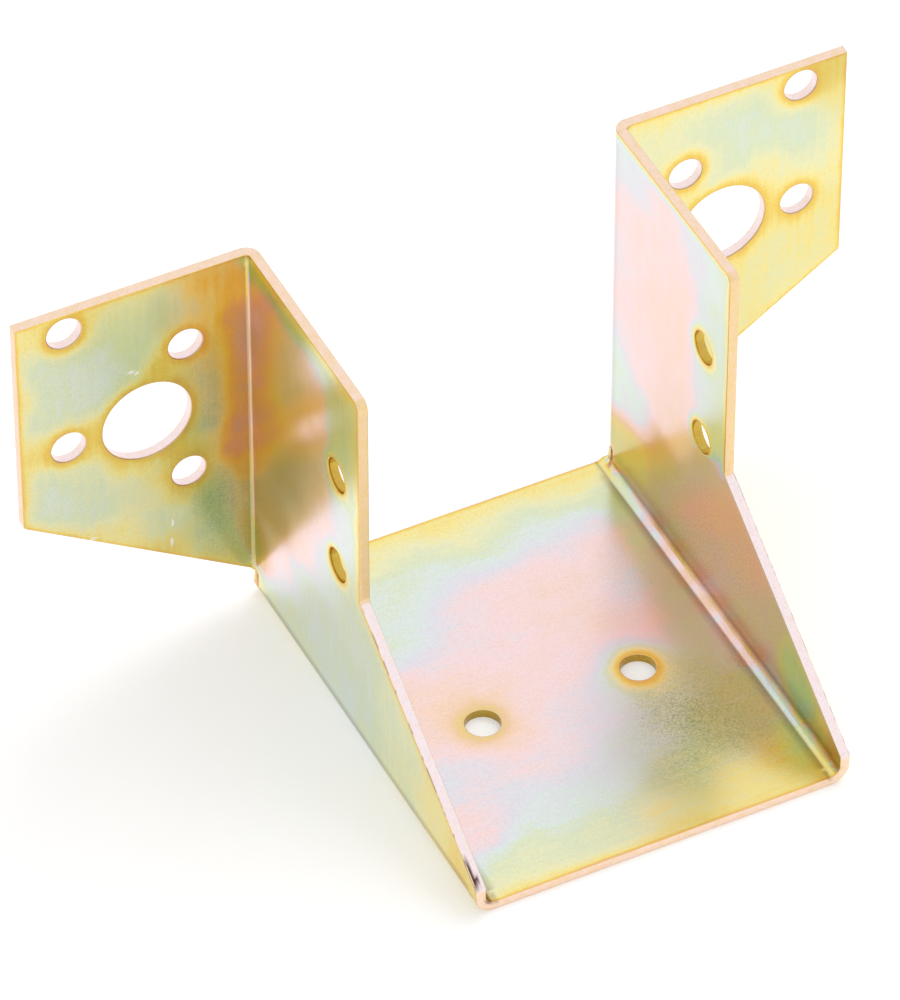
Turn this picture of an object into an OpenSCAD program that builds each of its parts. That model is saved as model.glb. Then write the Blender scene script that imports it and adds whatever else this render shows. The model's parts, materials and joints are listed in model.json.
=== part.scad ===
// Joist hanger folded from one sheet of steel: a flat seat, two upright cheeks that hold the
// joist between them, and two side flanges that fasten back to a beam, post or wall.
// Z is up and the joist runs along Y. The flanges stand at the back, at +Y.
// The origin is the centre of the underside of the seat.

/* [Sheet] */
// Thickness of the steel sheet
sheet_t = 2.5; // [1.5:0.1:4]
// Inside radius of the two long bends between the seat and the cheeks
seat_bend_r = 2.5; // [1:0.1:5]
// Inside radius of the two upright bends between the cheeks and the flanges
flange_bend_r = 1; // [0.5:0.1:3]

/* [Seat] */
// Clear width between the cheeks, which is the widest joist that fits
joist_w = 90; // [60:1:160]
// Length of the seat along the joist, from its front edge to the back of the flanges
seat_l = 116; // [90:1:180]

/* [Cheeks] */
// Height of the cheeks and of the flanges
cheek_h = 108; // [88:1:180]
// Depth of the upright part of each cheek, measured from the back of the flanges
cheek_top_l = 58; // [45:1:80]
// Height at which the front edge of a cheek changes from upright to sloping
slope_top_z = 47; // [30:1:70]
// Height of the cheeks at the front edge of the seat, where the slope ends
slope_end_z = 8; // [6:0.5:20]
// Rounding of the top front corner of a cheek
cheek_corner_r = 2.5; // [0.5:0.1:6]

/* [Flanges] */
// Width of each flange, measured from the inner face of its cheek
flange_w = 60; // [55:1:100]
// Height of a flange's lower edge where it leaves the cheek
flange_low_in_z = 9; // [8:0.5:20]
// Height of a flange's lower edge at its outer corner
flange_low_out_z = 47; // [20:1:60]
// Rounding of a flange's lower outer corner
flange_corner_r = 1.5; // [0.5:0.1:5]

/* [Screw holes] */
// Diameter of every small hole
screw_d = 8.4; // [5:0.1:9]
// Distance of the inner column of flange holes from the inner face of the cheek
inner_hole_x = 18.5; // [15:0.5:24]
// Distance of the outer column of flange holes from the inner face of the cheek
outer_hole_x = 48; // [45:0.5:54]
// Distance of the inner column's upper hole below the top edge
inner_hole_drop = 21; // [14:0.5:28]
// Height between the two holes of the inner column
inner_hole_pitch = 39.5; // [32:0.5:45]
// Distance of the outer column's upper hole below the top edge
outer_hole_drop = 5.5; // [5:0.5:12]
// Height between the two holes of the outer column
outer_hole_pitch = 35; // [25:0.5:38]
// Distance of the cheek holes from the upright front edge of the cheek
cheek_hole_in = 11.5; // [8:0.5:25]
// Distance of the upper cheek hole below the top edge
cheek_hole_drop = 31; // [15:0.5:40]
// Height between the two holes of a cheek
cheek_hole_pitch = 28; // [15:0.5:35]
// Distance between the two seat holes
seat_hole_pitch = 40; // [20:1:60]
// Distance of the seat holes from the front edge of the seat
seat_hole_y = 51; // [30:1:70]

/* [Anchor holes] */
// Diameter of the large hole in each flange
anchor_d = 22; // [12:0.5:24]
// Distance of the large hole from the inner face of the cheek
anchor_x = 28.5; // [24:0.5:31.5]
// Distance of the large hole below the top edge
anchor_drop = 40.5; // [37:0.5:46]

/* [Corner relief] */
// Width of the slit that lets the flange fold beside the seat's tail
relief_w = 0.8; // [0.5:0.1:2]
// Gap between the top of the tail and the lower edge of the flange
relief_gap = 0.6; // [0.4:0.1:1.5]
// Length of the tail's top, behind the slit
tail_top_l = 0.7; // [0.4:0.1:1.2]
// Height up to which the tail's back edge is upright; above this it slopes to the tail's top
tail_slope_z = 3.5; // [2.5:0.1:6]

/* [Hidden] */

// Facets asked for on a round; every round here stays a true arc
round_fn = 64;
// How far a cutting shape runs past the sheet
over = 1;

inner_x = joist_w / 2;                        // inner face of a cheek
outer_x = inner_x + sheet_t;                  // outer face of a cheek
tip_x = inner_x + flange_w;                   // outer edge of a flange
back_y = seat_l / 2;                          // back face of the flanges
front_y = -seat_l / 2;                        // front edge of the seat
upright_y = back_y - cheek_top_l;             // upright front edge of the cheeks
flange_bend_out_r = flange_bend_r + sheet_t;  // outside radius of a flange bend
flange_bend_y = back_y - flange_bend_out_r;   // line where a cheek starts to bend outwards
seat_bend_out_r = seat_bend_r + sheet_t;      // outside radius of a seat bend
relief_top_z = flange_low_in_z - relief_gap;  // top of the slit and of the tail
tail_top_y = flange_bend_y + relief_w / 2 + tail_top_l;

// A quarter ring in the first quadrant, from radius r_in to r_in + sheet_t
module bend_profile(r_in) {
    intersection() {
        difference() {
            circle(r = r_in + sheet_t, $fn = round_fn);
            circle(r = r_in, $fn = round_fn);
        }
        square(r_in + sheet_t + over);
    }
}

// Cross-section of the seat and one cheek, from the middle of the seat out to +X
module half_channel_profile() {
    square([outer_x - seat_bend_out_r, sheet_t]);
    translate([outer_x - seat_bend_out_r, seat_bend_out_r])
        mirror([0, 1]) bend_profile(seat_bend_r);
    translate([inner_x, seat_bend_out_r]) square([sheet_t, cheek_h - seat_bend_out_r]);
}

// Side view of the channel, Y across and Z up: the full cheek at the back with its rounded
// corner, the slope at the front, and the low tail of the seat under the start of the flange,
// whose back edge slopes in to the slit so that it stays clear of the flange
module side_outline() {
    polygon([
        [front_y, -over], [back_y, -over], [back_y, tail_slope_z],
        [tail_top_y, relief_top_z], [flange_bend_y, relief_top_z], [flange_bend_y, cheek_h],
        [upright_y + cheek_corner_r, cheek_h], [upright_y, cheek_h - cheek_corner_r],
        [upright_y, slope_top_z], [front_y, slope_end_z]
    ]);
    translate([upright_y + cheek_corner_r, cheek_h - cheek_corner_r])
        circle(r = cheek_corner_r, $fn = round_fn);
}

// The slit along the foot of the flange bend, which parts the seat's tail from the cheek
module relief_slit() {
    translate([outer_x - seat_bend_r, flange_bend_y - relief_w / 2, -over])
        cube([seat_bend_r + over, relief_w, relief_top_z + over]);
}

// The seat's half and one cheek, at +X
module channel_half() {
    difference() {
        intersection() {
            translate([0, back_y, 0]) rotate([90, 0, 0])
                linear_extrude(seat_l) half_channel_profile();
            translate([-over, 0, 0]) rotate([90, 0, 90])
                linear_extrude(outer_x + 2 * over) side_outline();
        }
        relief_slit();
    }
}

// Cross-section of a flange with its bend, seen from above, at +X
module flange_profile() {
    translate([inner_x + flange_bend_out_r, flange_bend_y])
        mirror([1, 0]) bend_profile(flange_bend_r);
    translate([inner_x + flange_bend_out_r, back_y - sheet_t])
        square([flange_w - flange_bend_out_r, sheet_t]);
}

// Front view of a flange, X across and Z up, with a slanting lower edge
module flange_outline() {
    slant = atan2(flange_low_out_z - flange_low_in_z, tip_x - outer_x);
    corner_x = tip_x - flange_corner_r;
    corner_z = flange_low_out_z + flange_corner_r * (1 - sin(slant)) / cos(slant);
    union() {
        polygon([
            [inner_x - over, flange_low_in_z], [outer_x, flange_low_in_z],
            [corner_x + flange_corner_r * sin(slant), corner_z - flange_corner_r * cos(slant)],
            [corner_x, corner_z], [tip_x, corner_z],
            [tip_x, cheek_h], [inner_x - over, cheek_h]
        ]);
        translate([corner_x, corner_z]) circle(r = flange_corner_r, $fn = round_fn);
    }
}

// One flange with its bend, at +X
module flange() {
    intersection() {
        linear_extrude(cheek_h) flange_profile();
        translate([0, back_y + over, 0]) rotate([90, 0, 0])
            linear_extrude(flange_bend_out_r + 2 * over) flange_outline();
    }
}

// A drill along Y through a flange, at a distance from the cheek and a drop below the top
module flange_drill(x, drop, d) {
    translate([inner_x + x, back_y + over, cheek_h - drop])
        rotate([90, 0, 0]) cylinder(d = d, h = sheet_t + 2 * over, $fn = round_fn);
}

// The holes of one flange: two staggered columns of two, and the anchor hole between them
module flange_holes() {
    for (i = [0, 1]) {
        flange_drill(inner_hole_x, inner_hole_drop + i * inner_hole_pitch, screw_d);
        flange_drill(outer_hole_x, outer_hole_drop + i * outer_hole_pitch, screw_d);
    }
    flange_drill(anchor_x, anchor_drop, anchor_d);
}

// The two holes of one cheek, one above the other
module cheek_holes() {
    for (i = [0, 1])
        translate([inner_x - over, upright_y + cheek_hole_in, cheek_h - cheek_hole_drop - i * cheek_hole_pitch])
            rotate([0, 90, 0]) cylinder(d = screw_d, h = sheet_t + 2 * over, $fn = round_fn);
}

// The seat hole on the +X side
module seat_hole() {
    translate([seat_hole_pitch / 2, front_y + seat_hole_y, -over])
        cylinder(d = screw_d, h = sheet_t + 2 * over, $fn = round_fn);
}

// The half of the hanger at +X, which meets its mirror image in the middle of the seat
module hanger_half() {
    difference() {
        union() {
            channel_half();
            flange();
        }
        flange_holes();
        cheek_holes();
        seat_hole();
    }
}

// The whole folded sheet, one solid
module hanger() {
    color([0.86, 0.78, 0.45]) union() {
        hanger_half();
        mirror([1, 0, 0]) hanger_half();
    }
}

hanger();
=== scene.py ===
"""Looks of the joist hanger: one folded steel sheet, zinc plated and passivated yellow.

The sheet is built flat, as the blank that a press would cut, and then folded. A point of the blank is
(s, y, w) in millimetres: s runs across it from the middle of the seat, up a cheek, y runs along the
joist and on past the back bend into the flange, and w is the offset from the middle of the thickness,
positive below the seat, outside a cheek and in front of a flange. One plating film lies over it all,
and its thickness sets its colour.
"""

import json
import math

import bpy
import numpy as np
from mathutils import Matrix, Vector, noise
from mathutils.geometry import delaunay_2d_cdt


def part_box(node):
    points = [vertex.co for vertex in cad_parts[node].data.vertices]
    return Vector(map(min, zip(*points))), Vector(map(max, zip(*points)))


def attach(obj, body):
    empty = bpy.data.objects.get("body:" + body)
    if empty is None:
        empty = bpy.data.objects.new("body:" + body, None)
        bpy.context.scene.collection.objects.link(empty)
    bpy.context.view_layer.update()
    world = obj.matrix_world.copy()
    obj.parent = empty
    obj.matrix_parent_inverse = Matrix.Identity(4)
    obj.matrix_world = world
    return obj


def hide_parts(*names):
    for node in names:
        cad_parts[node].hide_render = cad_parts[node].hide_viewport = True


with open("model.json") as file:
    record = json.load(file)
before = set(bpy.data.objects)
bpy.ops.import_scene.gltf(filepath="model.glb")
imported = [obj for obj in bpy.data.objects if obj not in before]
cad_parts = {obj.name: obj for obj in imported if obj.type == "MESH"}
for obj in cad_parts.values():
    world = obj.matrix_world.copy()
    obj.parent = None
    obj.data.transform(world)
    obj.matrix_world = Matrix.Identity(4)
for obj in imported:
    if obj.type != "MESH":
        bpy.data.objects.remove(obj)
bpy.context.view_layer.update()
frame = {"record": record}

MM = 0.001
mounts = {m["name"]: m for m in frame["record"]["mounts"]}


def mount_mm(name):
    """A mount's position in millimetres."""
    return np.array(mounts[name]["pos_m"]) / MM


def place_in_scene(name, data):
    """A new object in the scene, from its data."""
    made = bpy.data.objects.new(name, data)
    bpy.context.scene.collection.objects.link(made)
    return made


# ---- Sizes, from the frame where it gives them, in millimetres ----
low, high = (np.array(c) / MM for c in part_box("hanger"))
sheet_t = mounts["left_anchor"]["dims"]["length_mm"]
front_y, back_y, tip_x, top_z = low[1], high[1], high[0], high[2]
cheek_x = mount_mm("right_cheek_screws")[0]      # middle of a cheek's thickness
seat_bend_r, flange_bend_r = 2.5, 1.0            # inside radii
upright_y, slope_top_z, slope_end_z = 0.0, 47.0, 8.0
cheek_corner_r, flange_corner_r = 2.5, 1.5
flange_low_in_z, flange_low_out_z = 9.0, 47.0
relief_w, relief_top_z = 0.8, 8.4
tail_top_l, tail_flare = 1.0, 0.6
tail_angle = 48                                  # degrees round the seat's bend to where the tail starts

half_t = sheet_t / 2
seat_mid_r = seat_bend_r + half_t                # radii of the middle of the sheet in the bends
flange_mid_r = flange_bend_r + half_t
flat_x = cheek_x - seat_mid_r                    # where the seat's flat ends
bend_top_z = seat_mid_r + half_t                 # where the cheek's flat starts
seat_arc, flange_arc = seat_mid_r * math.pi / 2, flange_mid_r * math.pi / 2
fold_y = back_y - half_t - flange_mid_r          # where the cheek's flat ends and the flange bend starts
tip_y = fold_y + flange_arc + tip_x - cheek_x - flange_mid_r


def cheek_s(z):
    """The blank's s of a height on the cheek."""
    return flat_x + seat_arc + z - bend_top_z


def flange_x(y):
    """The real x of a place y on the blank that is past the flange bend line."""
    a = np.clip((y - fold_y) / flange_mid_r, 0, math.pi / 2)
    return cheek_x + flange_mid_r * (1 - np.cos(a)) + np.maximum(y - fold_y - flange_arc, 0)


def flange_y(x):
    """The blank's y of a real x on the flat of the flange."""
    return fold_y + flange_arc + x - cheek_x - flange_mid_r


def fold(p, w):
    """Folds blank points p (n, 2) at offsets w (n,) into real points in millimetres."""
    side = np.where(p[:, 0] < 0, -1.0, 1.0)
    s, y = np.abs(p[:, 0]), p[:, 1]
    a = np.clip((s - flat_x) / seat_mid_r, 0, math.pi / 2)
    r = seat_mid_r + w
    x = np.where(s < flat_x, s, flat_x + r * np.sin(a))
    z = np.where(s < flat_x, half_t - w, bend_top_z - r * np.cos(a))
    z += np.maximum(s - flat_x - seat_arc, 0)
    on_flange = (y > fold_y) & (z > (relief_top_z + flange_low_in_z) / 2)
    b = np.clip((y - fold_y) / flange_mid_r, 0, math.pi / 2)
    r = flange_mid_r - w
    past = np.maximum(y - fold_y - flange_arc, 0)
    x = np.where(on_flange, cheek_x + flange_mid_r - r * np.cos(b) + past, x)
    y = np.where(on_flange, fold_y + r * np.sin(b), y)
    return np.stack([side * x, y, z], axis=1)


# ---- The blank: its outline and its holes, in millimetres ----
EDGE_STEP = 0.9         # spacing of points along the cut edges
BEND_STEP = 0.42        # and across the bends
BEFORE_BEND, AFTER_BEND = 1, 3           # how far off the seat's bends the edge keeps the close spacing
FOLD_MARGIN = 0.1       # an edge that only touches the flange's bend line isn't bent
LONG_EDGE = 20          # a bent edge longer than this gets a slightly wider spacing
SLANT_STEPS = 6         # points where the flange's slanted edge rolls round its bend
ARC_STEPS = 8           # steps of a rounded corner
CIRCLE_STEPS = 36       # least number of points round a hole


def arc(cx, cy, r, a0, a1):
    """Points of an arc on the blank, angles in degrees."""
    angles = [math.radians(a0 + (a1 - a0) * i / ARC_STEPS) for i in range(ARC_STEPS + 1)]
    return [(cx + r * math.cos(a), cy + r * math.sin(a)) for a in angles]


def half_outline():
    """Corner points of the right half of the blank's edge, from the front middle to the back middle."""
    slope = (flange_low_out_z - flange_low_in_z) / (tip_x - cheek_x - half_t)
    tilt = math.atan(slope)
    corner_z = flange_low_out_z + flange_corner_r * (1 - math.sin(tilt)) / math.cos(tilt)
    slit = flat_x + seat_mid_r * math.asin((cheek_x - half_t - flat_x) / seat_mid_r)
    pts = [(0, front_y), (cheek_s(slope_end_z), front_y), (cheek_s(slope_top_z), upright_y)]
    pts += arc(cheek_s(top_z - cheek_corner_r), upright_y + cheek_corner_r, cheek_corner_r, -90, 0)
    pts += [(cheek_s(top_z), tip_y)]
    corner_end = 180 - math.degrees(tilt)
    pts += arc(cheek_s(corner_z), tip_y - flange_corner_r, flange_corner_r, 90, corner_end)
    start_y = fold_y + flange_mid_r * math.acos(1 - half_t / flange_mid_r)
    for y in np.linspace(fold_y + flange_arc, start_y, SLANT_STEPS):
        pts.append((cheek_s(flange_low_in_z + slope * max(flange_x(y) - cheek_x - half_t, 0)), y))
    pts += [(cheek_s(flange_low_in_z), fold_y), (cheek_s(relief_top_z), fold_y),
            (cheek_s(relief_top_z), fold_y - relief_w / 2), (slit, fold_y - relief_w / 2),
            (slit, fold_y + relief_w / 2), (cheek_s(relief_top_z), fold_y + relief_w / 2)]
    tail_top_y = fold_y + relief_w / 2 + tail_top_l
    pts += [(cheek_s(relief_top_z), tail_top_y), (cheek_s(bend_top_z), tail_top_y + tail_flare),
            (flat_x + seat_mid_r * math.radians(tail_angle), back_y), (0, back_y)]
    return pts


def outline():
    """The whole closed edge of the blank, with points close enough to fold smoothly."""
    right = half_outline()
    corners = right + [(-s, y) for s, y in reversed(right[1:-1])]
    pts = []
    for a, b in zip(corners, corners[1:] + corners[:1]):
        a, b = np.array(a), np.array(b)
        mid = (a + b) / 2
        in_seat_bend = flat_x - BEFORE_BEND < abs(mid[0]) < flat_x + seat_arc + AFTER_BEND
        in_fold = min(a[1], b[1]) < fold_y + flange_arc and max(a[1], b[1]) > fold_y + FOLD_MARGIN
        bent = in_seat_bend or in_fold
        long = np.linalg.norm(b - a)
        if bent and long > LONG_EDGE:
            count = int(long / BEND_STEP)
        else:
            count = max(1, round(long / (BEND_STEP if bent else EDGE_STEP))) + 1
        pts += [tuple(a + (b - a) * c) for c in np.linspace(0, 1, count)[:-1]]
    return np.array(pts)


def circle(cs, cy, r):
    """A hole's rim on the blank, clockwise, so that the sheet lies to its left as along the outline."""
    n = max(CIRCLE_STEPS, round(2 * math.pi * r / EDGE_STEP))
    a = -np.arange(n) * 2 * math.pi / n
    return np.stack([cs + r * np.cos(a), cy + r * np.sin(a)], axis=1)


def hole_places():
    """(s, y, radius, panel) of every hole on the blank, worked out from the record's mounts."""
    places = []
    for name in ("flange_inner_screws", "flange_outer_screws"):
        d, (_, _, z) = mounts[name]["dims"], mount_mm(name)
        for side in (-1, 1):
            for up in (-0.5, 0.5):
                s = cheek_s(z + up * d["spacing_y_mm"])
                places.append((side * s, flange_y(d["spacing_x_mm"] / 2), d["hole_r_mm"], "flange"))
    for name in ("left_anchor", "right_anchor"):
        x, _, z = mount_mm(name)
        r = mounts[name]["dims"]["r_mm"]
        places.append((math.copysign(cheek_s(z), x), flange_y(abs(x)), r, "flange"))
    for name in ("left_cheek_screws", "right_cheek_screws"):
        d, (x, y, z) = mounts[name]["dims"], mount_mm(name)
        for up in (-0.5, 0.5):
            s = math.copysign(cheek_s(z + up * d["spacing_y_mm"]), x)
            places.append((s, y, d["hole_r_mm"], "cheek"))
    d, (_, y, _) = mounts["seat_screws"]["dims"], mount_mm("seat_screws")
    for side in (-0.5, 0.5):
        places.append((side * d["spacing_x_mm"], y, d["hole_r_mm"], "seat"))
    return places


CHUNK = 4000            # points handled at once
SHARPEST = 0.5          # at a corner, an offset isn't lengthened by more than one over this


def inward(loop):
    """At each point of a loop, the direction into the sheet, lengthened at corners to keep offsets even."""
    ahead, behind = np.roll(loop, -1, 0) - loop, loop - np.roll(loop, 1, 0)
    normals = []
    for d in (ahead, behind):
        d = d / np.linalg.norm(d, axis=1, keepdims=True)
        normals.append(np.stack([-d[:, 1], d[:, 0]], axis=1))
    total = normals[0] + normals[1]
    total /= np.linalg.norm(total, axis=1, keepdims=True)
    stretch = np.clip((total * normals[0]).sum(1), SHARPEST, 1)
    return total / stretch[:, None]


def distance(points, loops):
    """Distance of each point to the nearest of some closed loops."""
    best = np.full(len(points), np.inf)
    for loop in loops:
        a, b = loop, np.roll(loop, -1, 0)
        ab = b - a
        for i in range(0, len(points), CHUNK):
            p = points[i:i + CHUNK, None]
            t = np.clip(((p - a) * ab).sum(2) / (ab * ab).sum(1), 0, 1)
            d = np.linalg.norm(p - a - t[..., None] * ab, axis=2).min(1)
            best[i:i + CHUNK] = np.minimum(best[i:i + CHUNK], d)
    return best


def inside(points, loops):
    """Whether each point lies on the sheet, by counting the edges crossed on the way out."""
    odd = np.zeros(len(points), bool)
    for loop in loops:
        a, b = loop, np.roll(loop, -1, 0)
        for i in range(0, len(points), CHUNK):
            p = points[i:i + CHUNK, None]
            crosses = (a[:, 1] > p[..., 1]) != (b[:, 1] > p[..., 1])
            with np.errstate(divide="ignore", invalid="ignore"):
                at = a[:, 0] + (p[..., 1] - a[:, 1]) * (b[:, 0] - a[:, 0]) / (b[:, 1] - a[:, 1])
            odd[i:i + CHUNK] ^= (crosses & (p[..., 0] < at)).sum(1) % 2 == 1
    return odd


# ---- The mesh: two skins and the cut edge between them ----
# Lengths are in millimetres.
RAGGED = 0.03           # roughness of the cut edge
RAGGED_SCALE = 1.5      # and the length of its bumps
ROLL_R, BURR_R = 0.3, 0.16        # rounding of the cut edge where the punch entered and where it left
ROLL_ANGLES, BURR_ANGLES = (0, 30, 60, 90), (0, 45, 90)     # of the rings on those roundings
WALL_WS = (0.5, 0.1, -0.3, -0.7)  # offsets of the rings on the cut wall between them
WALL_MARGIN = 0.05      # a ring nearer than this to a skin belongs to the skin
HOLD = 0.1              # a ring this far inside the rim keeps the flats flat up to it
FACE_STEP = 1.9         # spacing of points on the flats
SEAT_BEND_LINES, FLANGE_BEND_LINES = 15, 11          # grid lines across each bend
CLEAR_D = 3.0           # rings take over from the grid this close to an edge
RING_DS = (0.55, 1.15, 1.9, 2.8)  # their distances from the holding ring
FULL_RING_D = 1         # nearer rings keep all their points, the others every second one
RING_KEEP = 0.9         # a ring's point stays if it is this share of its distance off every edge
BEND_MARGIN = 0.2       # grid points this close to a bend stay,
EDGE_CLEAR = 0.9        # if they are this far off the edge
MERGE_D = 1e-5          # points closer than this are merged

# The cut edge in section, from the outer skin to the inner one: (distance in from the rim, offset w).
EDGE_PROFILE = [(ROLL_R + HOLD, half_t)]
EDGE_PROFILE += [(ROLL_R * (1 - math.sin(a)), half_t - ROLL_R * (1 - math.cos(a)))
                 for a in np.radians(ROLL_ANGLES)]
EDGE_PROFILE += [(0, w) for w in WALL_WS]
EDGE_PROFILE += [(BURR_R * (1 - math.cos(a)), -half_t + BURR_R * (1 - math.sin(a)))
                 for a in np.radians(BURR_ANGLES)]
EDGE_PROFILE += [(BURR_R + HOLD, -half_t)]


def grid_lines():
    """The s and y values of the grid: even on the flats and closer together across the bends."""
    s_half = np.concatenate([
        np.linspace(0, flat_x, round(flat_x / FACE_STEP)),
        flat_x + np.linspace(0, seat_arc, SEAT_BEND_LINES)[1:],
        np.linspace(cheek_s(bend_top_z), cheek_s(top_z), round((top_z - bend_top_z) / FACE_STEP))[1:]])
    ys = np.concatenate([
        np.linspace(front_y, fold_y, round((fold_y - front_y) / FACE_STEP)),
        fold_y + np.linspace(0, flange_arc, FLANGE_BEND_LINES)[1:],
        np.linspace(fold_y + flange_arc, tip_y, round((tip_y - fold_y - flange_arc) / FACE_STEP))[1:]])
    return np.concatenate([-s_half[:0:-1], s_half]), ys


def face_points(loops):
    """Points inside the sheet: rings that follow the edges, and the grid beyond them."""
    ss, ys = grid_lines()
    grid = np.stack(np.meshgrid(ss, ys), axis=2).reshape(-1, 2)
    grid = grid[inside(grid, loops)]
    kept = [grid[distance(grid, loops) > CLEAR_D]]
    for d in RING_DS:
        for loop in loops:
            ring = (loop + inward(loop) * (ROLL_R + HOLD + d))[::1 if d < FULL_RING_D else 2]
            ring = ring[inside(ring, loops)]
            kept.append(ring[distance(ring, loops) > ROLL_R + HOLD + RING_KEEP * d])
    near = grid[distance(grid, loops) <= CLEAR_D]
    s, y = np.abs(near[:, 0]), near[:, 1]
    in_seat_bend = np.abs(s - flat_x - seat_arc / 2) < seat_arc / 2 + BEND_MARGIN
    in_fold = (y > fold_y - BEND_MARGIN) & (y < fold_y + flange_arc + BEND_MARGIN)
    near = near[in_seat_bend | in_fold]
    kept.append(near[distance(near, loops) > EDGE_CLEAR])
    return np.concatenate(kept)


def triangulate(loops, free):
    """Triangles over the blank, between the loops' holding rings. Loop points come first, in order."""
    rims = [loop + inward(loop) * (ROLL_R + HOLD) for loop in loops]
    points = np.concatenate(rims + [free])
    edges, start = [], 0
    for loop in loops:
        n = len(loop)
        edges += [(start + i, start + (i + 1) % n) for i in range(n)]
        start += n
    over_hull = 0        # triangles over the points' whole convex hull
    verts, _, faces, origins, _, _ = delaunay_2d_cdt(
        [Vector(p) for p in points], edges, [], over_hull, MERGE_D)
    flat = np.array([v[:] for v in verts])
    tris = np.array([f for f in faces if len(f) == 3])
    middle = flat[tris].mean(1)
    tris = tris[inside(middle, rims)]
    order = np.full(len(flat), -1)
    for new, olds in enumerate(origins):
        if olds:
            order[new] = min(olds)
    used = np.unique(tris)
    assert (order[used] >= 0).all(), "the triangulation added points"
    return points, order[tris]


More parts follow.
